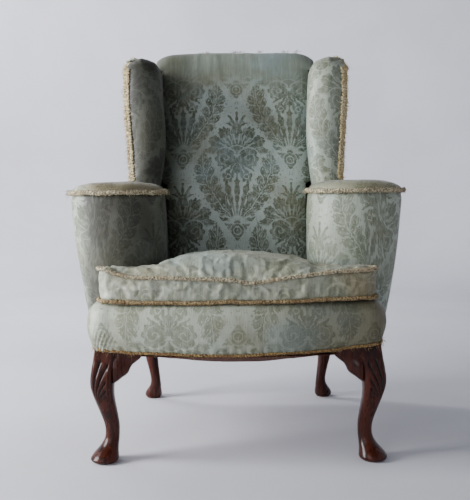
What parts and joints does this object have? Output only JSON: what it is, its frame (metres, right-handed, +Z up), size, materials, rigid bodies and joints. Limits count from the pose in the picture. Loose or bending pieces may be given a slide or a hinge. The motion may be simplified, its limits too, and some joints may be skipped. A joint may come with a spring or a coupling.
{
  "type": "wing armchair",
  "caption": "Worn low-seated wing armchair with rounded tapering arms, a loose T-shaped seat cushion, faded damask covers, frayed braid edging and carved cabriole legs with pad feet.",
  "frame": {"origin": "on the floor under the middle of the chair's bounding box", "axes": "+Z up; -Y is where the chair faces, so the sitter looks along -Y; +X is on the sitter's left, which is on the right of someone who stands in front and looks at the chair"},
  "size_m": [0.8542, 0.7533, 1.05],
  "materials": {
    "damask": "satin",
    "faded_damask": "matte",
    "braid": "matte",
    "polished_wood": "gloss",
    "frame_wood": "matte",
    "jute": "matte",
    "bottom_cloth": "matte",
    "spring_steel": "satin"
  },
  "bodies": {
    "root": {"front_leg_right": "polished_wood", "front_leg_left": "polished_wood", "rear_leg_right": "polished_wood", "rear_leg_left": "polished_wood", "front_knee_ear_right": "polished_wood", "front_knee_ear_left": "polished_wood", "side_knee_ear_right": "polished_wood", "side_knee_ear_left": "polished_wood", "front_rail": "frame_wood", "back_rail": "frame_wood", "side_rail_right": "frame_wood", "side_rail_left": "frame_wood", "corner_block_right": "frame_wood", "corner_block_left": "frame_wood", "back_post_right": "frame_wood", "back_post_left": "frame_wood", "top_rail": "frame_wood", "lower_back_rail": "frame_wood", "arm_stump_right": "frame_wood", "arm_stump_left": "frame_wood", "arm_board_right": "frame_wood", "arm_board_left": "frame_wood", "wing_post_right": "frame_wood", "wing_post_left": "frame_wood", "wing_rail_right": "frame_wood", "wing_rail_left": "frame_wood", "webbing_long_1": "jute", "webbing_long_2": "jute", "webbing_long_3": "jute", "webbing_cross_1": "jute", "webbing_cross_2": "jute", "seat_spring_1": "spring_steel", "seat_spring_2": "spring_steel", "seat_spring_3": "spring_steel", "seat_spring_4": "spring_steel", "seat_spring_5": "spring_steel", "seat_spring_6": "spring_steel", "bottom_cloth": "bottom_cloth", "seat_pad": "damask", "seat_braid": "braid", "back_pad": "damask", "outside_back": "damask", "arm_pad_right": "damask", "arm_pad_left": "damask", "outside_arm_right": "damask", "outside_arm_left": "damask", "arm_top_right": "faded_damask", "arm_top_left": "faded_damask", "arm_braid_right": "braid", "arm_braid_left": "braid", "wing_pad_right": "damask", "wing_pad_left": "damask", "outside_wing_right": "damask", "outside_wing_left": "damask", "wing_braid_right": "braid", "wing_braid_left": "braid", "cushion": "faded_damask", "cushion_welt_top": "braid", "cushion_welt_bottom": "braid"}
  },
  "joints": []
}
